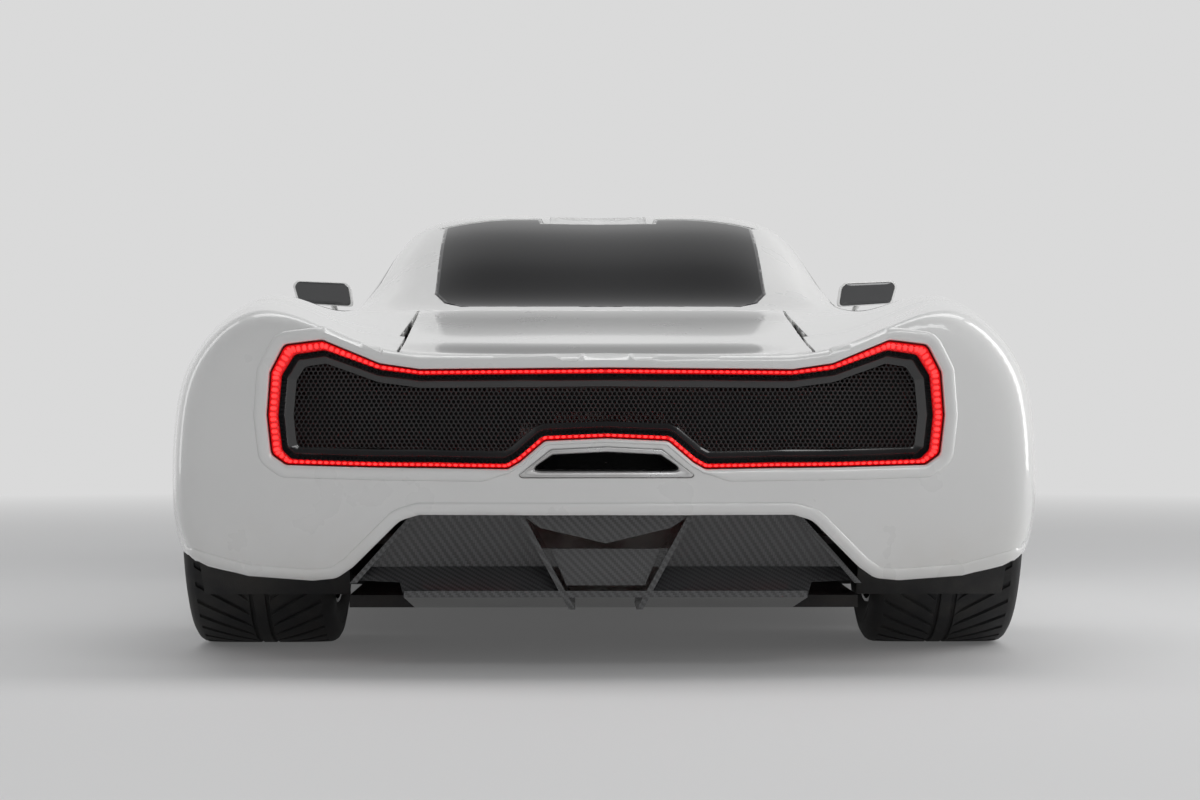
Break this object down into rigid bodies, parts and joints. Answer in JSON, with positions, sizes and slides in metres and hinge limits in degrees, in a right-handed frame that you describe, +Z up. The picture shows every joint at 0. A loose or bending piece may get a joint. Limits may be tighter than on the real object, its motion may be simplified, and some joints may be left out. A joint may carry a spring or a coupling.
{
  "type": "mid-engine supercar",
  "caption": "Low mid-engine two-seat supercar with opening doors, front lid and engine cover, steered front wheels and a lit ring round a tail mesh.",
  "frame": {"origin": "on the ground, at the middle of the car's length and width", "axes": "+Y forward along the car, +X to the car's right, +Z up"},
  "size_m": [2.0006, 4.5108, 1.1338],
  "materials": {
    "body_paint": "gloss",
    "dark_glass": "gloss",
    "lamp_red": "gloss",
    "lamp_clear": "gloss",
    "black_mesh": "satin",
    "satin_metal": "satin",
    "carbon": "satin weave",
    "underbody": "matte",
    "tyre_rubber": "matte",
    "rim_alloy": "satin",
    "cast_steel": "matte",
    "engine_cast": "matte",
    "dash_skin": "matte",
    "seat_leather": "matte"
  },
  "bodies": {
    "body": {"cabin_frame": "body_paint", "dashboard": "dash_skin", "diffuser": "carbon", "engine": "engine_cast", "exhaust": "satin_metal", "front_arms": "cast_steel", "front_bumper": "body_paint", "front_fender_left": "body_paint", "front_fender_right": "body_paint", "front_grille": "black_mesh", "front_liners": "underbody", "headlamps": "lamp_clear", "light_ring": "lamp_red", "quarter_left": "body_paint", "quarter_right": "body_paint", "rear_bumper": "body_paint", "rear_liners": "underbody", "rear_mesh": "black_mesh", "rear_uprights": "cast_steel", "rear_window": "dark_glass", "roof": "body_paint", "seats": "seat_leather", "sills": "body_paint", "splitter": "carbon", "tub": "underbody", "windscreen": "dark_glass"},
    "front_lid": {"front_lid": "body_paint"},
    "engine_cover": {"engine_cover": "body_paint"},
    "steering_wheel": {"steering_wheel": "dash_skin"},
    "door_left": {"door_left": "body_paint", "window_left": "dark_glass", "mirror_left": "body_paint"},
    "knuckle_left": {"knuckle_left": "cast_steel"},
    "wheel_front_left": {"front_tyre_left": "tyre_rubber", "front_rim_left": "rim_alloy"},
    "wheel_rear_left": {"rear_tyre_left": "tyre_rubber", "rear_rim_left": "rim_alloy", "half_shaft_left": "cast_steel"},
    "door_right": {"door_right": "body_paint", "window_right": "dark_glass", "mirror_right": "body_paint"},
    "knuckle_right": {"knuckle_right": "cast_steel"},
    "wheel_front_right": {"front_tyre_right": "tyre_rubber", "front_rim_right": "rim_alloy"},
    "wheel_rear_right": {"rear_tyre_right": "tyre_rubber", "rear_rim_right": "rim_alloy", "half_shaft_right": "cast_steel"}
  },
  "joints": [
    {"name": "steer_left", "type": "hinge", "parent": "body", "child": "knuckle_left", "pos_m": [-0.7645, 1.3, 0.343], "axis": [0, 0, 1], "range_deg": [-30, 30]},
    {"name": "spin_front_left", "type": "hinge", "parent": "knuckle_left", "child": "wheel_front_left", "pos_m": [-0.8195, 1.3, 0.343], "axis": [1, 0, 0], "continuous": true},
    {"name": "spin_rear_left", "type": "hinge", "parent": "body", "child": "wheel_rear_left", "pos_m": [-0.8035, -1.4, 0.357], "axis": [1, 0, 0], "continuous": true},
    {"name": "door_swing_left", "type": "hinge", "parent": "body", "child": "door_left", "pos_m": [-0.9597, 0.7605, 0.5], "axis": [0, 0, -1], "range_deg": [0, 62]},
    {"name": "steer_right", "type": "hinge", "parent": "body", "child": "knuckle_right", "pos_m": [0.7645, 1.3, 0.343], "axis": [0, 0, 1], "range_deg": [-30, 30]},
    {"name": "spin_front_right", "type": "hinge", "parent": "knuckle_right", "child": "wheel_front_right", "pos_m": [0.8195, 1.3, 0.343], "axis": [1, 0, 0], "continuous": true},
    {"name": "spin_rear_right", "type": "hinge", "parent": "body", "child": "wheel_rear_right", "pos_m": [0.8035, -1.4, 0.357], "axis": [1, 0, 0], "continuous": true},
    {"name": "door_swing_right", "type": "hinge", "parent": "body", "child": "door_right", "pos_m": [0.9597, 0.7605, 0.5], "axis": [0, 0, 1], "range_deg": [0, 62]},
    {"name": "front_lid_lift", "type": "hinge", "parent": "body", "child": "front_lid", "pos_m": [0, 0.9925, 0.79122], "axis": [1, 0, 0], "range_deg": [0, 60]},
    {"name": "engine_cover_lift", "type": "hinge", "parent": "body", "child": "engine_cover", "pos_m": [0, -1.1708, 0.81839], "axis": [-1, 0, 0], "range_deg": [0, 50]},
    {"name": "steering_turn", "type": "hinge", "parent": "body", "child": "steering_wheel", "pos_m": [-0.36, 0.3955, 0.66688], "axis": [0, -0.9272, 0.3746], "range_deg": [-420, 420]}
  ],
  "couplings": [
    {"joint": "steer_right", "follows": "steer_left", "ratio": 1},
    {"joint": "steering_turn", "follows": "steer_left", "ratio": 14}
  ]
}
